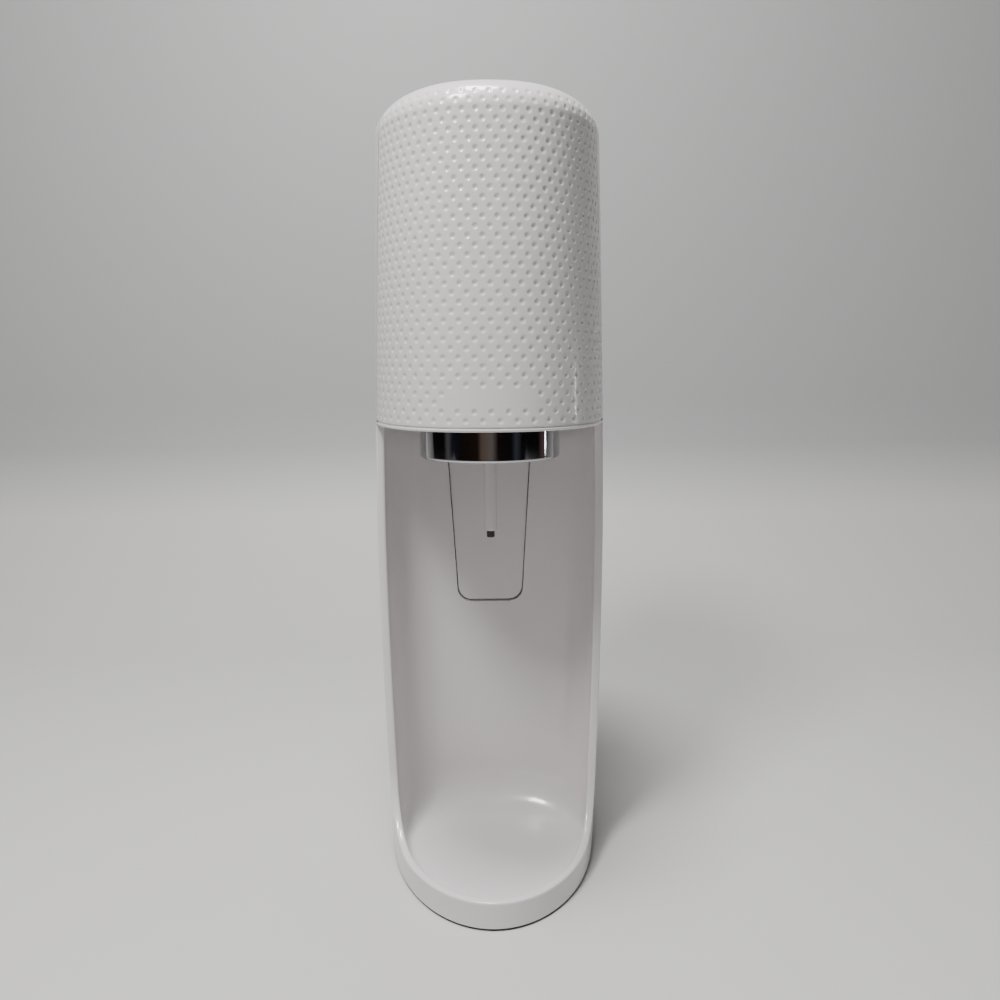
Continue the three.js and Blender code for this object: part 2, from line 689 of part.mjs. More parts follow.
place('column_housing', housing(), 'gloss_white');
place('head_cover', headCover(), 'gloss_white');
place('head_floor', headFloor(), 'gloss_white');
place('back_cover', backCover(), 'gloss_white');
place('cover_latch', latchButton(), 'button_white');
place('cover_hinge_pin', coverHingePin(), 'steel');
place('base_plate', basePlate(), 'inner_grey');
FOOT_PLACES.forEach((spot, index) => place(`foot_${index + 1}`, foot(spot), 'rubber'));
BASE_SCREW_PLACES.forEach((spot, index) => place(`base_screw_${index + 1}`, baseScrew(spot), 'steel'));

place('carbonating_button', button(), 'button_white');
place('press_lever', lever(), 'inner_grey');
place('lever_pin', leverPin(), 'steel');
place('actuator_pin', actuatorPin(), 'brass');
place('chassis', chassis(), 'inner_grey');
place('spring_seat', guidePlate(), 'inner_grey');

place('collar_ring', collarRing(), 'chrome');
place('holder_body', holderBody(), 'inner_grey');
place('holder_tongue', tongue(), 'gloss_white');
place('nozzle_block', nozzleBlock(), 'dark_plastic');
place('bottle_seal', bottleSeal(), 'rubber');
place('nozzle_tube', nozzleTube(), 'gloss_white');
place('nozzle_tip', nozzleTip(), 'dark_plastic');

for (const [name, side] of [['left', -1], ['right', 1]]) {
  place(`button_spring_${name}`, buttonSpring(side), 'steel');
  place(`trunnion_${name}`, trunnion(side), 'steel');
  place(`jaw_${name}`, jaw(side), 'dark_plastic');
  place(`jaw_pin_${name}`, jawPin(side), 'steel');
}

place('valve_housing', valveHousing(), 'inner_grey');
place('valve_seal', valveSeal(), 'rubber');
place('relief_valve', reliefValve(), 'brass');
place('outlet_fitting', outletFitting(), 'brass');
place('inlet_elbow', inletElbow(), 'brass');
place('gas_hose', gasHose(), 'hose_clear');
place('gas_cylinder', tankBody(), 'tank_paint');
place('cylinder_valve', tankValve(), 'brass');
place('cylinder_valve_pin', tankPin(), 'steel');

export default group;
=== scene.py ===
"""Soda carbonator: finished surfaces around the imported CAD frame. Lengths are in metres."""
import json
import math

import bmesh
import bpy
import numpy as np
from mathutils import Matrix, Vector


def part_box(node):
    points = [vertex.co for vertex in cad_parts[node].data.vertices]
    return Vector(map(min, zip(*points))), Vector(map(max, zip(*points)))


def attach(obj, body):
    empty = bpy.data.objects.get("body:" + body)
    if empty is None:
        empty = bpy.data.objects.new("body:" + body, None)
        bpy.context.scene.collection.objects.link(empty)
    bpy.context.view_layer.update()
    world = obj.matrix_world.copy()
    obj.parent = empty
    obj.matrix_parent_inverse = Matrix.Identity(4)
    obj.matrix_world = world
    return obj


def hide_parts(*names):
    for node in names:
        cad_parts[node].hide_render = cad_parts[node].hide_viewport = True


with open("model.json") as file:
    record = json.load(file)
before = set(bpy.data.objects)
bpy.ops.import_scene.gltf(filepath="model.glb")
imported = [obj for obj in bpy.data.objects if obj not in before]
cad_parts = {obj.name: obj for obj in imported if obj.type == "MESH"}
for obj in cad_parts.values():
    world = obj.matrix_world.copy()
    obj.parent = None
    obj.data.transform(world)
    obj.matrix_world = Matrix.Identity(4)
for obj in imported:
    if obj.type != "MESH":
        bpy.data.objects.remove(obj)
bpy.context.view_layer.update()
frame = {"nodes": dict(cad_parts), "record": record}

MM = 0.001
QUARTER = math.pi / 2

housing_low, housing_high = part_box("column_housing")
head_low, head_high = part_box("head_cover")
cover_low, cover_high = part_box("back_cover")
tongue_low, tongue_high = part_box("holder_tongue")
ring_low, ring_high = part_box("collar_ring")
tube_low, tube_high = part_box("nozzle_tube")
tip_low, tip_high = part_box("nozzle_tip")
button_low, button_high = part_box("carbonating_button")
tank_low, tank_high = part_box("gas_cylinder")
latch_low, latch_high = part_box("cover_latch")


def middle(low, high):
    """Middle of a box, seen from above."""
    return (low[0] + high[0]) / 2, (low[1] + high[1]) / 2


def half_size(low, high, axis=0):
    return (high[axis] - low[axis]) / 2


# ---- The oval body, as the CAD defines it ----
HALF = housing_high[0]                      # half width at the waist
FRONT_Y = housing_low[1]
REAR_Y = cover_high[1]
OVAL_Y = FRONT_Y + 98 * MM                  # widest line of every section
WAIST_Z = 200 * MM                          # height of the widest section
TOP_Z = head_high[2]
HEAD_Z = head_low[2]                        # lower lip of the head
BASE_Z = housing_low[2]
CAP_Z = housing_high[2] + 0.3 * MM          # seam under the cap
TOP_FILLET = 14 * MM
FILLET_Z = TOP_Z - TOP_FILLET               # where the top starts to round
LIP_Z = 16.5 * MM                           # lip of the bowl
BOWL_Z = 9 * MM                             # foot of the bay's walls
RIM = 4.5 * MM                              # thickness of the side walls at their edge
RIM_Y = OVAL_Y - 24 * MM                    # depth of the upright edges
SWEEP = 38 * MM                             # radius of the edge on its way down to the lip
BACK_SEAM_Y = housing_high[1]
BAY_REAR_Y = 24 * MM
BOWL_FRONT = 7 * MM                         # radius from the bay's wall to the bowl, in front
BOWL_REAR = 26 * MM                         # the same radius at the rear
WALL = 2.6 * MM
AXIS_Y = middle(ring_low, ring_high)[1]     # axis of the bottle
SEAM_GAP = 0.35 * MM
SEAM_AT_LIP = 36 * MM                       # head's side seam ahead of the widest line
SEAM_LEAN = 14 * MM                         # how much further ahead it is at the cap
FLOOR_NARROWING = 4 * MM                    # of the half width, from the waist to the floor
TOP_NARROWING = 5 * MM                      # of the half width, from the waist to the top
BODY_LEAN = 1.5 * MM                        # the front leans back from the lip to the head
HEAD_LEAN = 3.5 * MM                        # and again from the head's lip to its top
REAR_LEAN = 3 * MM
REAR_LEAN_Z = 320 * MM
REAR_POWER = 2.6


def head_seam(z):
    """Depth of the side seam behind the head cover, which leans forward as it rises."""
    rise = np.clip((z - HEAD_Z) / (CAP_Z - HEAD_Z), 0, 1)
    return OVAL_Y - (SEAM_AT_LIP + SEAM_LEAN * rise)


def smoothstep(value, low, high):
    share = np.clip((value - low) / (high - low), 0, 1)
    return share * share * (3 - 2 * share)


def half_width(z):
    below = FLOOR_NARROWING * np.clip((WAIST_Z - z) / WAIST_Z, 0, 1) ** 2.2
    above = TOP_NARROWING * np.clip((z - WAIST_Z) / (TOP_Z - WAIST_Z), 0, 1) ** 1.3
    return HALF - below - above


def front_depth(z):
    lean = np.clip((z - HEAD_Z) / (TOP_Z - HEAD_Z), 0, 1)
    return OVAL_Y - FRONT_Y - BODY_LEAN * smoothstep(z, LIP_Z, HEAD_Z) - HEAD_LEAN * lean


def rear_depth(z):
    return REAR_Y - OVAL_Y - REAR_LEAN * smoothstep(z, REAR_LEAN_Z, TOP_Z)


def front_power(z):
    """Roundness of the front: an ellipse at the floor, a little squarer at the head."""
    return 1.98 + 0.32 * smoothstep(z, 0, HEAD_Z)


def half_oval(ahead, z, inset):
    """Power and depth of the oval's front or rear half at a height."""
    power = np.where(ahead, front_power(z), REAR_POWER)
    depth = np.where(ahead, front_depth(z) - inset, rear_depth(z) - inset)
    return power, depth


def oval(angle, z, inset=0.0):
    """Point of the oval at a height: angle 0 is the front middle, pi / 2 the right side, pi the rear."""
    angle = np.asarray(angle, float)
    sine, cosine = np.sin(angle), np.cos(angle)
    power, depth = half_oval(cosine > 0, z, inset)
    x = (half_width(z) - inset) * np.sign(sine) * np.abs(sine) ** (2 / power)
    y = OVAL_Y - np.sign(cosine) * depth * np.abs(cosine) ** (2 / power)
    return x, y


def angle_at(y, z, inset=0.0):
    """Angle on the right-hand side at which the oval passes a given depth."""
    ahead = y < OVAL_Y
    power, depth = half_oval(ahead, z, inset)
    share = np.clip(np.abs(y - OVAL_Y) / depth, 0, 1) ** (power / 2)
    return np.where(ahead, np.arccos(share), math.pi - np.arccos(share))


def even_points(start, end, z, inset, count):
    """Evenly spaced points of the oval between two angles, with their distance along it."""
    x, y = oval(np.linspace(start, end, 721), z, inset)
    travel = np.concatenate([[0], np.cumsum(np.hypot(np.diff(x), np.diff(y)))])
    wanted = np.linspace(0, travel[-1], count)
    return np.interp(wanted, travel, x), np.interp(wanted, travel, y), wanted


def rounding(radius, distance):
    """How far a quarter round has drawn in, at a distance past its start."""
    along = np.clip(distance, 0, radius)
    return radius - np.sqrt(radius ** 2 - along ** 2)


# ---- Mesh helpers ----
def grid_faces(rows, columns, start=0, closed=False, flip=False):
    faces = []
    for r in range(rows - 1):
        for c in range(columns if closed else columns - 1):
            here = start + r * columns + c
            right = start + r * columns + (c + 1) % columns
            face = (here, right, right + columns, here + columns)
            faces.append(face[::-1] if flip else face)
    return faces


def stack_faces(rings, count):
    """Faces of a stack of closed rings whose last ring is filled."""
    last = (rings - 1) * count
    return grid_faces(rings, count, closed=True) + [tuple(range(last, last + count))]


def piece(name, vertices, faces, material, body, *nodes, sharp=40, merge=0.0):
    """One mesh object that rides on a body and stands for its CAD nodes."""
    mesh = bpy.data.meshes.new(name)
    mesh.from_pydata([tuple(v) for v in vertices], [], faces)
    if merge:
        work = bmesh.new()
        work.from_mesh(mesh)
        bmesh.ops.remove_doubles(work, verts=work.verts, dist=merge)
        work.to_mesh(mesh)
        work.free()
    mesh.validate()
    mesh.shade_smooth()
    mesh.set_sharp_from_angle(angle=math.radians(sharp))
    mesh.materials.append(material)
    obj = bpy.data.objects.new(name, mesh)
    bpy.context.collection.objects.link(obj)
    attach(obj, body)
    if nodes:
        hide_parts(*nodes)
    return obj


def thicken(obj, thickness, bevel=0.0):
    """Gives a skin its wall, inward, and softens its edges."""
    solidify = obj.modifiers.new("wall", "SOLIDIFY")
    solidify.thickness = thickness
    solidify.offset = -1
    if bevel:
        soften = obj.modifiers.new("edges", "BEVEL")
        soften.width = bevel
        soften.segments = 3
        soften.limit_method = "ANGLE"
        soften.angle_limit = math.radians(50)


def turned(name, profile, place, material, body, *nodes, sides=96, sharp=50):
    """Turns an outline of (radius, height) pairs about a vertical axis; clear of it, the outline closes."""
    vertices = []
    for radius, height in profile:
        for step in range(sides):
            angle = 2 * math.pi * step / sides
            x = place[0] + radius * math.cos(angle)
            y = place[1] + radius * math.sin(angle)
            vertices.append((x, y, height))
    faces = grid_faces(len(profile), sides, closed=True)
    last = (len(profile) - 1) * sides
    if profile[0][0] > 1e-6 and profile[-1][0] > 1e-6:
        faces += [(last + c, last + (c + 1) % sides, (c + 1) % sides, c) for c in range(sides)]
    return piece(name, vertices, faces, material, body, *nodes, sharp=sharp, merge=1e-6)


def soft_corners(outline, radius, steps=5):
    """Rounds the corners of an outline of (radius, height) pairs that ends where it starts."""
    points = [Vector(p) for p in outline]
    result = []
    for i, corner in enumerate(points):
        before = points[i - 1] - corner
        after = points[(i + 1) % len(points)] - corner
        reach = min(radius, before.length / 2.01, after.length / 2.01)
        start = corner + before.normalized() * reach
        end = corner + after.normalized() * reach
        # a point just outside each end of the arc keeps the flat faces' shading flat
        guard = min(0.2 * MM, before.length / 2 - reach, after.length / 2 - reach)
        result.append((start + before.normalized() * guard)[:])
        for step in range(steps + 1):
            share = step / steps
            point = (1 - share) ** 2 * start + 2 * share * (1 - share) * corner + share ** 2 * end
            result.append(point[:])
        result.append((end + after.normalized() * guard)[:])
    return result


def sleeve_outline(bore, low, high, corner):
    """Rounded outline of a plain sleeve that fills a box, round a bore of a given radius."""
    radius = half_size(low, high)
    corners = [(bore, high[2]), (bore, low[2]), (radius, low[2]), (radius, high[2])]
    return soft_corners(corners, corner)


class Skin:
    """Collects patches of quads; their shared borders are merged at the end."""

    def __init__(self):
        self.vertices = []
        self.faces = []

    def patch(self, rows, flip=False):
        start = len(self.vertices)
        for row in rows:
            self.vertices.extend(row)
        self.faces.extend(grid_faces(len(rows), len(rows[0]), start, flip=flip))

    def both_sides(self, rows, flip=False):
        self.patch(rows, flip)
        self.patch([[(-x, y, z) for x, y, z in row] for row in rows], not flip)


# ---- Materials ----
def new_material(name, color, roughness, metallic=0.0, coat=0.0):
    material = bpy.data.materials.new(name)
    material.use_nodes = True
    shader = material.node_tree.nodes["Principled BSDF"]
    shader.inputs["Base Color"].default_value = (*color, 1)
    shader.inputs["Roughness"].default_value = roughness
    shader.inputs["Metallic"].default_value = metallic
    shader.inputs["Coat Weight"].default_value = coat
    shader.inputs["Coat Roughness"].default_value = 0.06
    return material, material.node_tree.nodes, material.node_tree.links, shader


def noise(nodes, links, scale, detail=4.0, stretch=(1, 1, 1)):
    coordinates = nodes.new("ShaderNodeTexCoord")
    mapping = nodes.new("ShaderNodeMapping")
    mapping.inputs["Scale"].default_value = stretch
    texture = nodes.new("ShaderNodeTexNoise")
    texture.inputs["Scale"].default_value = scale
    texture.inputs["Detail"].default_value = detail
    links.new(coordinates.outputs["Object"], mapping.inputs["Vector"])
    links.new(mapping.outputs["Vector"], texture.inputs["Vector"])
    return texture.outputs["Fac"]


def ramp(nodes, links, source, low, high, socket, start=0.3, end=0.7):
    """Drives a socket between two values or two colours from a texture."""
    blend = nodes.new("ShaderNodeValToRGB")
    for element, position, value in zip(blend.color_ramp.elements, (start, end), (low, high)):
        element.position = position
        element.color = (*value, 1) if isinstance(value, tuple) else (value, value, value, 1)
    links.new(source, blend.inputs["Fac"])
    links.new(blend.outputs["Color"], socket)


def bump(nodes, links, source, shader, strength, distance=0.2 * MM):
    node = nodes.new("ShaderNodeBump")
    node.inputs["Strength"].default_value = strength
    node.inputs["Distance"].default_value = distance
    links.new(source, node.inputs["Height"])
    links.new(node.outputs["Normal"], shader.inputs["Normal"])


def moulded(name, color, roughness, spread=0.02, coat=0.0, grain=900, depth=0.08):
    """Moulded plastic: faint cloudy tone, uneven gloss and a fine surface grain."""
    material, nodes, links, shader = new_material(name, color, roughness, coat=coat)
    pale = tuple(min(1, c * (1 + spread)) for c in color)
    deep = tuple(c * (1 - spread) for c in color)
    ramp(nodes, links, noise(nodes, links, 14), deep, pale, shader.inputs["Base Color"])
    wear = noise(nodes, links, 60, 6)
    ramp(nodes, links, wear, roughness * 0.85, roughness * 1.2, shader.inputs["Roughness"])
    bump(nodes, links, noise(nodes, links, grain, 2), shader, depth)
    return material


def metal(name, color, roughness, stretch=(1, 1, 1), depth=0.05, scale=400):
    """Bare or plated metal: streaked gloss and faint marks along the stretch."""
    material, nodes, links, shader = new_material(name, color, roughness, metallic=1.0)
    streak = noise(nodes, links, scale, 3, stretch)
    ramp(nodes, links, streak, roughness * 0.7, roughness * 1.4, shader.inputs["Roughness"])
    pale = tuple(min(1, c * 1.05) for c in color)
    deep = tuple(c * 0.93 for c in color)
    ramp(nodes, links, noise(nodes, links, 30), deep, pale, shader.inputs["Base Color"])
    bump(nodes, links, streak, shader, depth)
    return material


body_white = moulded("body_white", (0.74, 0.715, 0.715), 0.22, coat=0.35, depth=0.03)
button_white = moulded("button_white", (0.70, 0.685, 0.685), 0.3, grain=1500, depth=0.1)
inner_grey = moulded("inner_grey", (0.2, 0.21, 0.22), 0.55, spread=0.08, grain=1200, depth=0.3)
dark_plastic = moulded("dark_plastic", (0.03, 0.03, 0.033), 0.4, spread=0.15, grain=1000, depth=0.2)
rubber = moulded("rubber", (0.02, 0.02, 0.02), 0.8, spread=0.2, grain=700, depth=0.4)
hose_milky = moulded("hose_milky", (0.6, 0.62, 0.62), 0.35, spread=0.05, grain=500, depth=0.1)
tank_paint = moulded("tank_paint", (0.03, 0.14, 0.33), 0.3, spread=0.08, coat=0.5, grain=300, depth=0.1)
chrome = metal("chrome", (0.55, 0.55, 0.57), 0.06, depth=0.01, scale=90)
steel = metal("steel", (0.56, 0.56, 0.57), 0.28, (1, 1, 8))
brass = metal("brass", (0.66, 0.47, 0.19), 0.25, (1, 1, 6))

BY_SLOT = {
    "body_gloss": body_white,
    "button_plastic": button_white,
    "inner_plastic": inner_grey,
    "steel": steel,
    "chrome_trim": chrome,
    "dark_plastic": dark_plastic,
    "rubber": rubber,
    "brass": brass,
    "hose": hose_milky,
    "cylinder_paint": tank_paint,
}
for part in frame["record"]["subparts"]:
    node = frame["nodes"][part["node"]]
    node.data.materials.clear()
    node.data.materials.append(BY_SLOT[part["material_slot"]])


# ---- Column housing: outer wall, rim, bay and bowl as one skin ----
EDGE = 1.6 * MM                       # roundness of the side walls' edge
EDGE_POWER = 0.55                     # below 1, the edge is flatter than a half circle
NICHE_LOW = LIP_Z + SWEEP             # top of the swept part of the edge
NICHE_POWER = 2.5                     # roundness of the bay's rear wall
TONGUE_TOP_HALF = tongue_high[0]
TONGUE_LOW_HALF = TONGUE_TOP_HALF - 6.8 * MM
TONGUE_CORNER = 8 * MM
TONGUE_GAP = 0.35 * MM
TONGUE_SIDE_ROOM = 1.1 * MM           # added beside the tongue's upper part, which tilts
TONGUE_FOOT_ROOM = 0.9 * MM
RECESS_Y = 27.3 * MM                  # floor of the recess round the tongue

# stations along the side wall, round the swept edge, and along the lip to the front middle
SIDE = np.linspace(BACK_SEAM_Y - SEAM_GAP, RIM_Y + EDGE, 26)
SWEPT = [RIM_Y - SWEEP + (SWEEP + EDGE) * math.sin(a) for a in np.linspace(QUARTER, 0, 22)]
LIP_SHARES = np.linspace(1, 0, 44)[1:]
# heights beside the bay, closer together round the tongue's foot
UPRIGHT = np.concatenate([np.linspace(NICHE_LOW, 145.4 * MM, 38),
                          np.linspace(146 * MM, 158 * MM, 22),
                          np.linspace(160 * MM, HEAD_Z, 46)])


def bay_foot(radius, z):
    """How far the foot of the bay's wall has drawn in at a height."""
    return rounding(radius, radius - (z - BOWL_Z))


def bay_front(z):
    """Half width, depth and power of the bay's front half at a height."""
    inset = RIM + bay_foot(BOWL_FRONT, z)
    return half_width(z) - inset, OVAL_Y - FRONT_Y - inset, front_power(z)


def bay_rear(z):
    """Half width of the bay at the upright edges, and its reach behind them."""
    half, depth, power = bay_front(z)
    limit = np.arccos(np.clip((OVAL_Y - RIM_Y) / depth, 0, 1) ** (power / 2))
    reach = BAY_REAR_Y - bay_foot(BOWL_REAR, z) - RIM_Y
    return half * math.sin(limit) ** (2 / power), reach


def tongue_half(z, margin=0.0, foot=0.0):
    """Half width of the tongue's outline at a height, zero below it."""
    low = tongue_low[2] - foot
    share = np.clip((z - low) / (tongue_high[2] - low), 0, 1)
    half = TONGUE_LOW_HALF + (TONGUE_TOP_HALF - TONGUE_LOW_HALF) * share + margin
    half = half - rounding(TONGUE_CORNER, TONGUE_CORNER - (z - low))
    return np.where(z < low, 0.0, half)


def edge_height(y):
    """Top of the outer and bay skins where the rounded edge starts."""
    reach = SWEEP + EDGE
    along = np.clip(y - (RIM_Y - SWEEP), 0, reach)
    return LIP_Z + SWEEP - np.sqrt(reach ** 2 - along ** 2)


def outer_at(y, z):
    """Outer skin at a depth."""
    x, _ = oval(angle_at(y, z), z)
    return float(x), float(y)


def outer_lip(share, z):
    """Outer skin in front of the sweep: share 1 is the start of the sweep, 0 the front middle."""
    x, y = oval(share * float(angle_at(RIM_Y - SWEEP, LIP_Z)), z)
    return float(x), float(y)


def head_side_at(y, z):
    """Outer skin beside the head, which follows the rounded top."""
    inset = float(rounding(TOP_FILLET, z - FILLET_Z))
    x, _ = oval(angle_at(y, z, inset), z, inset)
    return float(x), float(y), float(z)


def bay_at(y, z):
    """Bay skin at a depth, for the swept stretch."""
    if y < RIM_Y:
        half, depth, power = bay_front(z)
        cosine = ((OVAL_Y - y) / depth) ** (power / 2)
        return half * math.sqrt(max(0.0, 1 - cosine ** 2)) ** (2 / power), y
    width, reach = bay_rear(z)
    cosine = min(1.0, (y - RIM_Y) / reach) ** (NICHE_POWER / 2)
    return width * math.sqrt(1 - cosine ** 2) ** (2 / NICHE_POWER), y


def bay_lip(share, z):
    """Bay skin in front of the sweep, with shares as on the outer skin."""
    half, depth, power = bay_front(z)
    start = math.acos(((OVAL_Y - RIM_Y + SWEEP) / depth) ** (power / 2))
    angle = share * start
    return half * math.sin(angle) ** (2 / power), OVAL_Y - depth * math.cos(angle) ** (2 / power)


def niche_at(share, z):
    """Bay skin behind the upright edge: share of the half width, 0 at the rear middle."""
    width, reach = bay_rear(z)
    x = width * share
    margin = TONGUE_GAP + TONGUE_SIDE_ROOM * smoothstep(z, 232 * MM, 250 * MM)
    if x < tongue_half(z, margin, TONGUE_FOOT_ROOM):
        return x, RECESS_Y
    return x, RIM_Y + reach * max(0.0, 1 - share ** NICHE_POWER) ** (1 / NICHE_POWER)


def low_rows(bottom, top, crowd=1.0, count=22):
    """Heights from bottom to top; crowd above 1 puts more of them near the bottom."""
    return [bottom + (top - bottom) * (i / (count - 1)) ** crowd for i in range(count)]


def bay_rows(top):
    return low_rows(BOWL_Z, top, crowd=1.7)


def outer_wall(skin):
    """Outer wall: below the sweep's end, beside the bay, then beside the head."""
    columns = [[(*outer_at(y, z), z) for z in low_rows(BASE_Z, NICHE_LOW)] for y in SIDE]
    columns += [[(*outer_at(y, z), z) for z in low_rows(BASE_Z, edge_height(y))] for y in SWEPT]
    columns += [[(*outer_lip(s, z), z) for z in low_rows(BASE_Z, LIP_Z - EDGE)] for s in LIP_SHARES]
    skin.both_sides(columns)
    skin.both_sides([[(*outer_at(y, z), z) for z in UPRIGHT] for y in SIDE])
    rows = np.concatenate([np.linspace(HEAD_Z, FILLET_Z, 40),
                           np.linspace(FILLET_Z, CAP_Z - SEAM_GAP, 9)[1:]])
    beside_head = [[head_side_at(y, z) for z in rows] for y in SIDE]
    start = RIM_Y + EDGE
    for share in np.linspace(0, 1, 22)[1:]:
        depths = [start + (head_seam(z) + SEAM_GAP - start) * share for z in rows]
        beside_head.append([head_side_at(y, z) for y, z in zip(depths, rows)])
    skin.both_sides(beside_head)


def bay_wall(skin):
    """Bay: niche, swept stretch and lip, then the bowl's floor."""
    angles = np.linspace(0.46, QUARTER - 0.0166, 30)
    # evenly close across the tongue, then by angle round to the edge
    shares = sorted([*np.linspace(0, 0.52, 120), *(math.sin(a) ** (2 / NICHE_POWER) for a in angles)])
    niche = [[(*niche_at(s, z), z) for z in bay_rows(NICHE_LOW)] for s in shares]
    swept = [[(*bay_at(y, z), z) for z in bay_rows(edge_height(y))] for y in SWEPT]
    lips = [[(*bay_lip(s, z), z) for z in bay_rows(LIP_Z - EDGE)] for s in LIP_SHARES]
    columns = niche[:-1] + swept + lips
    skin.both_sides(columns)
    upper = [[(*niche_at(s, z), z) for z in UPRIGHT] for s in shares[:-1]]
    upper.append([(*bay_at(RIM_Y + EDGE, z), z) for z in UPRIGHT])
    skin.both_sides(upper)
    skin.both_sides(bowl_floor([column[0] for column in columns]), flip=True)


def bowl_floor(loop):
    """Rings from the foot of the bay's walls in to the middle, falling slightly."""
    centre_y = AXIS_Y - 8 * MM
    rings = []
    for share in np.linspace(1, 0, 16):
        drop = 1.1 * MM * (1 - share ** 2)
        rings.append([(x * share, centre_y + (y - centre_y) * share, z - drop) for x, y, z in loop])
    return rings


def rolled_edge(skin):
    """Rounded edge between the outer and bay skins, from the head down and round to the front."""
    arcs = []
    for z in UPRIGHT[::-1]:
        y = RIM_Y + EDGE
        arcs.append(edge_arc((*outer_at(y, z), z), (*bay_at(y, z), z), (0, -1, 0)))
    for y in SWEPT:
        z = float(edge_height(y))
        outward = Vector((0, RIM_Y - SWEEP - y, LIP_Z + SWEEP - z)).normalized()
        arcs.append(edge_arc((*outer_at(y, z), z), (*bay_at(y, z), z), outward))
    for share in LIP_SHARES:
        z = LIP_Z - EDGE
        arcs.append(edge_arc((*outer_lip(share, z), z), (*bay_lip(share, z), z), (0, 0, 1)))
    skin.both_sides(arcs, flip=True)


def edge_arc(outer, inner, outward):
    """A rounded bridge from the outer skin to the bay skin."""
    outer, inner, outward = Vector(outer), Vector(inner), Vector(outward)
    centre, half = (outer + inner) / 2, (outer - inner) / 2
    arc = []
    for angle in np.linspace(0, math.pi, 13):
        across = math.copysign(abs(math.cos(angle)) ** EDGE_POWER, math.cos(angle))
        rise = max(0.0, math.sin(angle)) ** EDGE_POWER
        arc.append(tuple(centre + half * across + outward * (EDGE * rise)))
    return arc


skin = Skin()
outer_wall(skin)
bay_wall(skin)
rolled_edge(skin)
column = piece("column_shell", skin.vertices, skin.faces, body_white, "frame", "column_housing",
               sharp=38, merge=2e-6)

# ---- Head cover with its dimples ----
ROW_PITCH = 4.296 * MM
FIRST_ROW_Z = 410.2 * MM
ROWS = 34
ROWS_ON_FILLET = 2                          # more rows above the first, on the rounded top
STEP_TOP = 6.22 * MM                        # distance between dimples in the first row
STEP_BOTTOM = 8.36 * MM                     # and in the last
DIMPLE_R = 1.5 * MM
DIMPLE_DEPTH = 0.56 * MM
DIMPLE_MARGIN = 2.2 * MM                    # bare strip beside the side seams
BLANK_ROWS = {30: 24 * MM, 31: 27 * MM}     # smooth patch, low in the middle
FRONT_COLUMNS = 448
CAP_COLUMNS = 150
# (inset, rise) in mm from inside the lower lip, over its bead and the groove above it
LIP_BEAD = [(2.4, 5), (2.4, 0.8), (2.0, 0.2), (1.2, 0), (0.4, 0.05), (0, 0.4), (-0.15, 0.9),
            (0, 1.4), (0.45, 1.55), (0.6, 1.9), (0.45, 2.3), (0.05, 2.5)]
BUTTON_GAP = 0.6 * MM
# from the rounded top's edge to the button's well: share of the way, growth and drop in mm
TOP_STEPS = [(0, 0, 0), (0.3, 0, 0), (0.6, 0, 0), (0.85, 0, 0), (1, 0.8, 0), (1, 0.3, 0.15),
             (1, 0, 0.7), (1, 0, 9)]


def dimple_depth(along, height, edge):
    """Depth of the dimples at a point: arc length from the middle, height along the profile."""
    row = np.round((FIRST_ROW_Z - height) / ROW_PITCH)
    step = STEP_TOP + (STEP_BOTTOM - STEP_TOP) * row / (ROWS - 1)
    shift = np.where(row % 2 == 0, 0.0, 0.5)
    centre_along = (np.round(along / step - shift) + shift) * step
    centre_height = FIRST_ROW_Z - row * ROW_PITCH
    distance = np.hypot(along - centre_along, height - centre_height)
    present = (row >= -ROWS_ON_FILLET) & (row < ROWS) & (np.abs(centre_along) < edge - DIMPLE_MARGIN)
    for blank, reach in BLANK_ROWS.items():
        present &= ~((row == blank) & (np.abs(centre_along) < reach))
    fade = np.where(row < 0, 0.75, 1.0)
    bowl = np.clip(1 - (distance / DIMPLE_R) ** 2, 0, 1) ** 1.15
    return np.where(present, DIMPLE_DEPTH * fade * bowl, 0.0)


def head_profile():
    """(inset, height, arc height) from inside the lower lip up to the inner edge of the rounded top."""
    rows = [(inset * MM, HEAD_Z + rise * MM, HEAD_Z) for inset, rise in LIP_BEAD]
    rows += [(0.0, z, z) for z in np.arange(HEAD_Z + 3 * MM, FILLET_Z, 0.52 * MM)]
    for angle in np.linspace(0, QUARTER, 44):
        inset = TOP_FILLET * (1 - math.cos(angle))
        rows.append((inset, FILLET_Z + TOP_FILLET * math.sin(angle), FILLET_Z + TOP_FILLET * angle))
    return rows


def head_seam_angle(z, inset):
    return float(angle_at(head_seam(z) - SEAM_GAP, z, inset))


def front_row(inset, z, height):
    """One row of the head's front from seam to seam, pushed in at the dimples."""
    level = min(z, TOP_Z)
    limit = head_seam_angle(level, inset)
    x, y, travel = even_points(-limit, limit, level, inset, FRONT_COLUMNS)
    along = travel - travel[-1] / 2
    depth = dimple_depth(along, height, along[-1]) if height > HEAD_Z else np.zeros(FRONT_COLUMNS)
    slope = math.asin(min(1.0, max(0.0, (z - FILLET_Z) / TOP_FILLET)))
    step_x, step_y = np.gradient(x), np.gradient(y)
    inward = depth * math.cos(slope) / np.hypot(step_x, step_y)
    return list(zip(x - step_y * inward, y + step_x * inward, z - depth * math.sin(slope)))


def cap_row(inset, z):
    """One row of the cap, round the sides and the rear from seam to seam."""
    limit = head_seam_angle(z, inset)
    x, y = oval(np.linspace(limit, 2 * math.pi - limit, CAP_COLUMNS), z, inset)
    return list(zip(x, y, np.full(CAP_COLUMNS, z)))


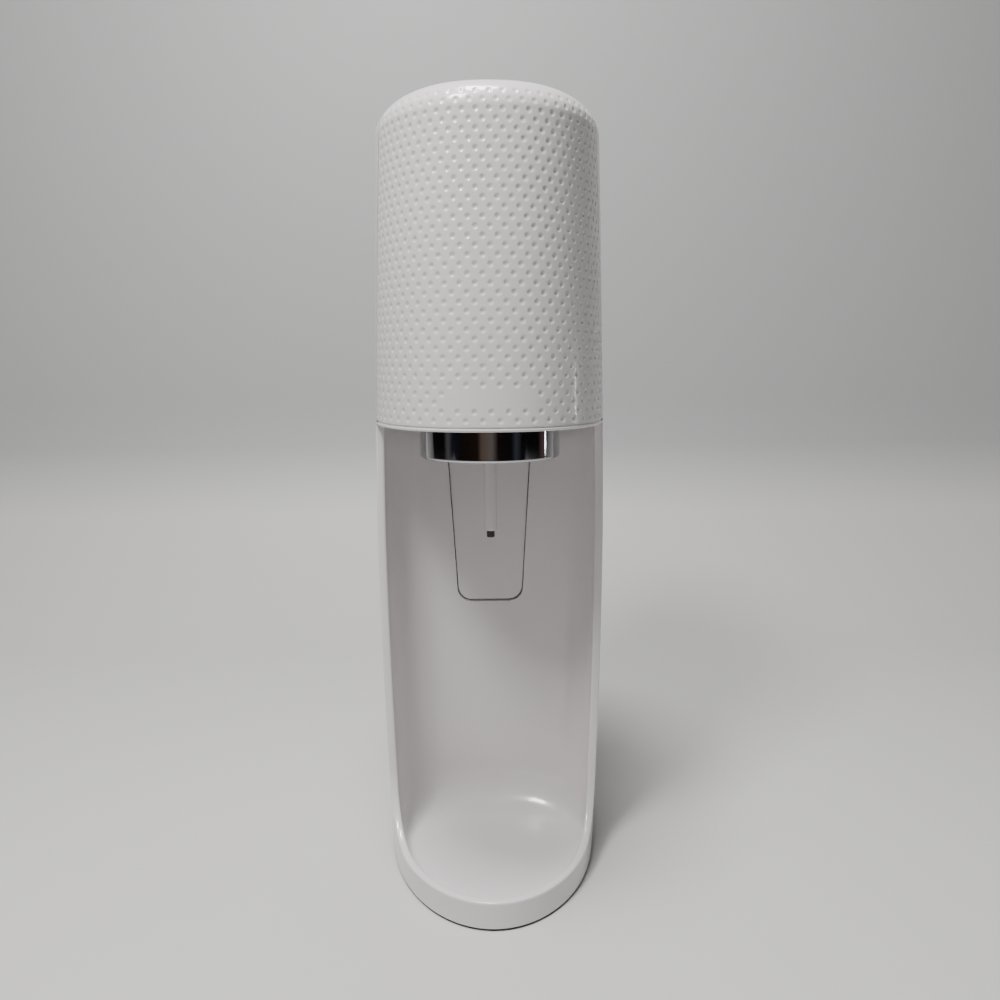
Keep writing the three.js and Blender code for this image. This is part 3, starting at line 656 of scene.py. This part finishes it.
def top_rows(rim):
    """The flat top, from its rounded edge in to the button's well and down its wall."""
    centre = Vector(middle(button_low, button_high))
    half = half_size(button_low, button_high) + BUTTON_GAP
    depth = half_size(button_low, button_high, 1) + BUTTON_GAP
    rows = []
    for share, grow, drop in TOP_STEPS:
        row = []
        for x, y, _ in rim:
            angle = math.atan2((y - centre.y) / depth, (x - centre.x) / half)
            well_x = (half + grow * MM) * math.cos(angle) + centre.x
            well_y = (depth + grow * MM) * math.sin(angle) + centre.y
            row.append((x + (well_x - x) * share, y + (well_y - y) * share, TOP_Z - drop * MM))
        rows.append(row)
    return rows


def head_skin():
    skin = Skin()
    profile = head_profile()
    front = [front_row(inset, z, height) for inset, z, height in profile]
    cap = [cap_row(inset, z) for inset, z, _ in profile if z >= CAP_Z]
    skin.patch(front)
    skin.patch(cap)
    rim = front[-1][:-1] + cap[-1][:-1]
    skin.patch(top_rows(rim + rim[:1]))
    return skin


skin = head_skin()
head = piece("head_shell", skin.vertices, skin.faces, body_white, "frame", "head_cover",
             sharp=48, merge=2e-6)

# ---- Back cover and latch ----
LATCH_MARGIN = 0.5 * MM
LATCH_RECESS = 9.5 * MM
LATCH_BAND = 9 * MM                   # closer rows above and below the latch
latch_z = (latch_low[2] + latch_high[2]) / 2
latch_half = half_size(latch_low, latch_high, 2)
latch_flat = latch_high[0] - latch_half


def back_cover_row(z):
    """One row of the cover from seam to seam, sunk in the latch's recess."""
    inset = float(rounding(TOP_FILLET, z - FILLET_Z))
    limit = float(angle_at(BACK_SEAM_Y + SEAM_GAP, z, inset))
    x, y, _ = even_points(limit, 2 * math.pi - limit, z, inset, 221)
    off = np.hypot(np.clip(np.abs(x) - latch_flat, 0, None), z - latch_z)
    y = np.where(off < latch_half + LATCH_MARGIN, y - LATCH_RECESS, y)
    return list(zip(x, y, np.full(len(x), z)))


def back_cover_skin():
    heights = np.concatenate([np.linspace(cover_low[2], latch_z - LATCH_BAND - MM, 70),
                              np.linspace(latch_z - LATCH_BAND, latch_z + LATCH_BAND, 40),
                              np.linspace(latch_z + LATCH_BAND + MM, FILLET_Z, 8),
                              np.linspace(FILLET_Z, cover_high[2], 9)[1:]])
    skin = Skin()
    skin.patch([back_cover_row(z) for z in heights])
    return skin


skin = back_cover_skin()
cover = piece("back_panel", skin.vertices, skin.faces, body_white, "back_cover", "back_cover", sharp=40)
thicken(cover, WALL * 0.9)

LATCH_STEPS = 24
# (growth, rise) in mm from the rear, over the rolled edge, to the dished face
LATCH_RINGS = [(0.0, -5.5), (0.0, -1.2), (-0.15, -0.6), (-0.5, -0.15), (-1.0, 0.0), (-1.8, -0.1),
               (-3.5, -0.45), (-5.0, -0.6)]


def latch_outline(grow):
    """A stadium outline of (x, z) points: two half circles joined by straight sides."""
    radius = latch_half + grow
    points = []
    for centre, start in ((latch_flat, -QUARTER), (-latch_flat, QUARTER)):
        for angle in np.linspace(start, start + math.pi, LATCH_STEPS):
            points.append((centre + radius * math.cos(angle), latch_z + radius * math.sin(angle)))
    return points


def latch_piece():
    vertices = []
    for grow, rise in LATCH_RINGS:
        vertices += [(x, latch_high[1] + rise * MM, z) for x, z in latch_outline(grow * MM)]
    faces = stack_faces(len(LATCH_RINGS), 2 * LATCH_STEPS)
    return piece("latch_cap", vertices, faces, button_white, "cover_latch", "cover_latch", sharp=45)


latch = latch_piece()

# ---- Carbonating button ----
BUTTON_ROUND = 2.2 * MM
SKIRT = 13.5 * MM
BUTTON_SIDES = 128
BUTTON_DISH = [(-4, 0.03), (-7, 0.2), (-12, 0.5), (-20, 0.85), (-28, 1.0)]     # (growth, sink) in mm


def button_rings():
    """(growth, height) of the button's rings, from inside its skirt to the middle of its dish."""
    top = button_high[2]
    rings = [(-BUTTON_ROUND, top - SKIRT), (0, top - SKIRT)]
    for angle in np.linspace(0, QUARTER, 9):
        rings.append((-BUTTON_ROUND * (1 - math.cos(angle)), top - BUTTON_ROUND * (1 - math.sin(angle))))
    return rings + [(grow * MM, top - sink * MM) for grow, sink in BUTTON_DISH]


def button_piece():
    centre = middle(button_low, button_high)
    half = half_size(button_low, button_high)
    depth = half_size(button_low, button_high, 1)
    rings = button_rings()
    vertices = []
    for grow, z in rings:
        for step in range(BUTTON_SIDES):
            angle = 2 * math.pi * step / BUTTON_SIDES
            x = centre[0] + (half + grow) * math.cos(angle)
            y = centre[1] + (depth + grow) * math.sin(angle)
            vertices.append((x, y, z))
    faces = stack_faces(len(rings), BUTTON_SIDES)
    return piece("press_cap", vertices, faces, button_white, "button", "carbonating_button", sharp=45)


press_cap = button_piece()

# ---- Button springs ----
JOINTS = {joint["name"]: joint for joint in frame["record"]["behaviour"]["joints"]}
STROKE = JOINTS["button_press"]["range_m"][1]
WIRE = 0.55 * MM                      # radius of the spring wire


def coil(name, node, turns=4, steps=24, sides=10):
    """A spring at its pressed length, so that it stays under the button through the whole stroke."""
    low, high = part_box(node)
    centre_x, centre_y = middle(low, high)
    mean = half_size(low, high) - WIRE
    bottom = low[2] + WIRE
    top = high[2] - STROKE - 2 * WIRE
    vertices = []
    for step in range(turns * steps + 1):
        angle = 2 * math.pi * step / steps
        height = bottom + (top - bottom) * step / (turns * steps)
        outward = Vector((math.cos(angle), math.sin(angle), 0))
        wire = Vector((centre_x, centre_y, height)) + outward * mean
        for side in range(sides):
            around = 2 * math.pi * side / sides
            vertices.append(wire + (outward * math.cos(around) + Vector((0, 0, math.sin(around)))) * WIRE)
    faces = grid_faces(turns * steps + 1, sides, closed=True)
    faces += [tuple(range(sides)), tuple(range(len(vertices) - sides, len(vertices)))]
    return piece(name, vertices, faces, steel, "frame", node, sharp=60)


for hand in ("left", "right"):
    spring = coil(f"press_coil_{hand}", f"button_spring_{hand}")

# ---- Collar, nozzle and tongue ----
COLLAR_WALL = 3 * MM
TONGUE_Y = 24.1 * MM                  # front face of the tongue
TONGUE_WALL = 2.4 * MM
TONGUE_COLUMNS = 31

ring_outline = sleeve_outline(half_size(ring_low, ring_high) - COLLAR_WALL, ring_low, ring_high, 1.3 * MM)
collar = turned("collar", ring_outline, (0, AXIS_Y), chrome, "bottle_holder", "collar_ring",
                sides=160, sharp=60)

tube_outline = sleeve_outline(1.6 * MM, tube_low, tube_high, 0.7 * MM)
tube = turned("nozzle_sleeve", tube_outline, (0, AXIS_Y), body_white, "bottle_holder", "nozzle_tube",
              sides=64)

tip_outline = sleeve_outline(0.6 * MM, tip_low, tip_high, 0.6 * MM)
tip = turned("nozzle_jet", tip_outline, (0, AXIS_Y), dark_plastic, "bottle_holder", "nozzle_tip",
             sides=48)


def tongue_panel():
    bottom, top = tongue_low[2], tongue_high[2]
    corner = np.linspace(0.06, QUARTER, 12)
    heights = np.concatenate([bottom + TONGUE_CORNER * (1 - np.cos(corner)),
                              np.linspace(bottom + TONGUE_CORNER, top, 40)[1:]])
    vertices = []
    for z in heights:
        half = float(tongue_half(z))
        vertices += [(half * share, TONGUE_Y, z) for share in np.linspace(-1, 1, TONGUE_COLUMNS)]
    faces = grid_faces(len(heights), TONGUE_COLUMNS)
    panel = piece("tongue_panel", vertices, faces, body_white, "bottle_holder", "holder_tongue", sharp=30)
    thicken(panel, TONGUE_WALL, bevel=0.5 * MM)
    return panel


tongue = tongue_panel()

# ---- Gas cylinder ----
SHOULDER_Z = 306 * MM
NECK = 12.5 * MM
TANK_ROUND = 7 * MM
TANK_FOOT = [(0, 6), (10, 4.6), (15, 2.2), (19, 0.4), (22, 0)]     # (radius, rise) in mm, dished in


def tank_outline():
    """(radius, height) from the dished foot up the side, over the shoulder and in to the axis."""
    radius = half_size(tank_low, tank_high)
    bottom, top = tank_low[2], tank_high[2]
    outline = [(out * MM, bottom + rise * MM) for out, rise in TANK_FOOT]
    for angle in np.linspace(0.1, QUARTER, 10):
        out = radius - TANK_ROUND * (1 - math.sin(angle))
        outline.append((out, bottom + TANK_ROUND * (1 - math.cos(angle))))
    for angle in np.linspace(0, QUARTER, 22):
        out = NECK + (radius - NECK) * math.cos(angle)
        outline.append((out, SHOULDER_Z + (top - SHOULDER_Z) * math.sin(angle)))
    return outline + [(0, top)]


tank = turned("cylinder_shell", tank_outline(), (0, middle(tank_low, tank_high)[1]), tank_paint,
              "gas_cylinder", "gas_cylinder", sharp=60)

# ---- Stage, camera and lights ----
CAMERA_PLACE = Vector((-6.9, -494.0, 296.4)) * MM
CAMERA_PITCH = math.radians(9.31)
CAMERA_TURN = math.radians(1.49)
CAMERA_ROLL = math.radians(-0.43)
LENS = 30.34

FLOOR_PAINT = (0.6, 0.6, 0.59)
WALL_PAINT = (0.41, 0.42, 0.42)
PAINT_FADE = 0.3                      # height over which the floor's paint turns into the wall's
STAGE_HALF_WIDTH = 2.0
STAGE_FRONT = -1.2
STAGE_CURVE_Y = 0.35                  # where the floor starts to curve up
STAGE_CURVE = 0.25                    # radius of that curve
STAGE_TOP = 1.8

# name, place, target, size, watts and colour of each light
LIGHTS = [
    ("key", (-0.29, -0.46, 0.98), (0, 0, 0.33), (0.18, 0.18), 8.2, (1, 0.975, 0.965)),
    ("ceiling", (-0.1, -0.2, 1.4), (0, -0.05, 0.2), (0.3, 0.3), 18, (1, 0.985, 0.98)),
    ("fill", (0.7, -1.1, 0.9), (0, 0, 0.2), (0.6, 0.6), 0.3, (1, 0.98, 0.97)),
    ("window_left", (-1.14, 0.63, 0.48), (0, 0, 0.34), (0.025, 0.3), 0.5, (1, 1, 1)),
    ("lamp_right", (1.25, 0.18, 0.22), (0, 0, 0.28), (0.025, 0.2), 0.4, (1, 1, 1)),
]

# Upright bands of the surroundings by bearing in degrees from straight in front of the object,
# left to right: what the chrome mirrors.
BANDS = [(-180, (0.30, 0.30, 0.29)), (-150, (0.05, 0.045, 0.045)), (-80, (0.02, 0.018, 0.018)),
         (-72, (0.45, 0.44, 0.42)), (-64, (0.04, 0.05, 0.09)), (-46, (0.05, 0.035, 0.03)),
         (-20, (0.08, 0.05, 0.035)), (-14, (0.62, 0.42, 0.32)), (2, (0.70, 0.60, 0.54)),
         (12, (0.05, 0.03, 0.025)), (34, (0.03, 0.03, 0.035)), (42, (0.20, 0.22, 0.27)),
         (52, (0.02, 0.02, 0.02)), (84, (0.03, 0.025, 0.025)), (92, (0.40, 0.25, 0.24)),
         (104, (0.10, 0.10, 0.10)), (150, (0.30, 0.30, 0.29)), (180, (0.30, 0.30, 0.29))]
OVERHEAD = (0.60, 0.59, 0.59)
BACKDROP = (1.65, 1.65, 1.63)
WORLD_STRENGTH = 0.2


def stage_material():
    """Matt paint, a little darker up the wall than on the floor."""
    material, nodes, links, shader = new_material("stage_paint", FLOOR_PAINT, 0.55)
    place = nodes.new("ShaderNodeTexCoord")
    axes = nodes.new("ShaderNodeSeparateXYZ")
    links.new(place.outputs["Object"], axes.inputs[0])
    height = nodes.new("ShaderNodeMapRange")
    height.interpolation_type = "SMOOTHSTEP"
    height.inputs["From Max"].default_value = PAINT_FADE
    links.new(axes.outputs["Z"], height.inputs["Value"])
    ramp(nodes, links, height.outputs["Result"], FLOOR_PAINT, WALL_PAINT, shader.inputs["Base Color"])
    bump(nodes, links, noise(nodes, links, 300, 2), shader, 0.02)
    return material


def make_stage():
    """A floor that curves up into a wall behind the object."""
    profile = [(STAGE_FRONT, 0.0), (STAGE_CURVE_Y, 0.0)]
    for angle in np.linspace(0, QUARTER, 24)[1:]:
        y = STAGE_CURVE_Y + STAGE_CURVE * math.sin(angle)
        profile.append((y, STAGE_CURVE * (1 - math.cos(angle))))
    profile.append((STAGE_CURVE_Y + STAGE_CURVE, STAGE_TOP))
    vertices = [(x, y, z) for x in (-STAGE_HALF_WIDTH, STAGE_HALF_WIDTH) for y, z in profile]
    mesh = bpy.data.meshes.new("stage")
    mesh.from_pydata(vertices, [], grid_faces(2, len(profile)))
    mesh.shade_smooth()
    mesh.materials.append(stage_material())
    stage = bpy.data.objects.new("stage", mesh)
    bpy.context.collection.objects.link(stage)


def make_camera():
    data = bpy.data.cameras.new("camera")
    data.sensor_width = 36
    data.lens = LENS
    camera = bpy.data.objects.new("camera", data)
    turn = Matrix.Rotation(-CAMERA_TURN, 4, "Z")
    tilt = Matrix.Rotation(QUARTER - CAMERA_PITCH, 4, "X")
    roll = Matrix.Rotation(CAMERA_ROLL, 4, "Z")
    camera.matrix_world = Matrix.Translation(CAMERA_PLACE) @ turn @ tilt @ roll
    bpy.context.collection.objects.link(camera)
    bpy.context.scene.camera = camera


def area_light(name, place, target, size, power, color):
    data = bpy.data.lights.new(name, "AREA")
    data.shape = "RECTANGLE"
    data.size, data.size_y = size
    data.energy = power
    data.color = color
    light = bpy.data.objects.new(name, data)
    direction = Vector(target) - Vector(place)
    aim = direction.to_track_quat("-Z", "Y").to_matrix().to_4x4()
    light.matrix_world = Matrix.Translation(place) @ aim
    bpy.context.collection.objects.link(light)


def map_range(tree, source, low, high):
    """A node that maps a value from low to high onto 0 to 1."""
    node = tree.nodes.new("ShaderNodeMapRange")
    node.inputs["From Min"].default_value = low
    node.inputs["From Max"].default_value = high
    tree.links.new(source, node.inputs["Value"])
    return node


def band_colors(tree, axes):
    """The bands' colour by bearing: 0 straight in front of the object, rising to its right."""
    ahead = tree.nodes.new("ShaderNodeMath")
    ahead.operation = "MULTIPLY"
    ahead.inputs[1].default_value = -1
    tree.links.new(axes.outputs["Y"], ahead.inputs[0])
    bearing = tree.nodes.new("ShaderNodeMath")
    bearing.operation = "ARCTAN2"
    tree.links.new(axes.outputs["X"], bearing.inputs[0])
    tree.links.new(ahead.outputs[0], bearing.inputs[1])
    turn = map_range(tree, bearing.outputs[0], -math.pi, math.pi)
    bands = tree.nodes.new("ShaderNodeValToRGB")
    elements = bands.color_ramp.elements
    elements.remove(elements[1])
    for index, (degrees, color) in enumerate(BANDS):
        position = (degrees + 180) / 360
        element = elements[0] if index == 0 else elements.new(position)
        element.position = position
        element.color = (*color, 1)
    tree.links.new(turn.outputs["Result"], bands.inputs["Fac"])
    return bands.outputs["Color"]


def mix_colors(tree, factor, first, second):
    """Blends a colour socket into a plain colour."""
    node = tree.nodes.new("ShaderNodeMix")
    node.data_type = "RGBA"
    node.inputs[7].default_value = (*second, 1)
    tree.links.new(factor, node.inputs["Factor"])
    tree.links.new(first, node.inputs[6])
    return node.outputs[2]


def studio_world():
    """Pale surroundings above and a plain pale backdrop, with darker bands about eye level."""
    world = bpy.data.worlds.new("world")
    world.use_nodes = True
    tree = world.node_tree
    place = tree.nodes.new("ShaderNodeTexCoord")
    axes = tree.nodes.new("ShaderNodeSeparateXYZ")
    tree.links.new(place.outputs["Generated"], axes.inputs[0])
    height = map_range(tree, axes.outputs["Z"], 0.22, 0.42)
    height.interpolation_type = "SMOOTHSTEP"
    mirrored = mix_colors(tree, height.outputs["Result"], band_colors(tree, axes), OVERHEAD)
    path = tree.nodes.new("ShaderNodeLightPath")
    seen = mix_colors(tree, path.outputs["Is Camera Ray"], mirrored, BACKDROP)
    background = tree.nodes["Background"]
    tree.links.new(seen, background.inputs["Color"])
    background.inputs["Strength"].default_value = WORLD_STRENGTH
    bpy.context.scene.world = world


make_stage()
make_camera()
for light in LIGHTS:
    area_light(*light)
studio_world()
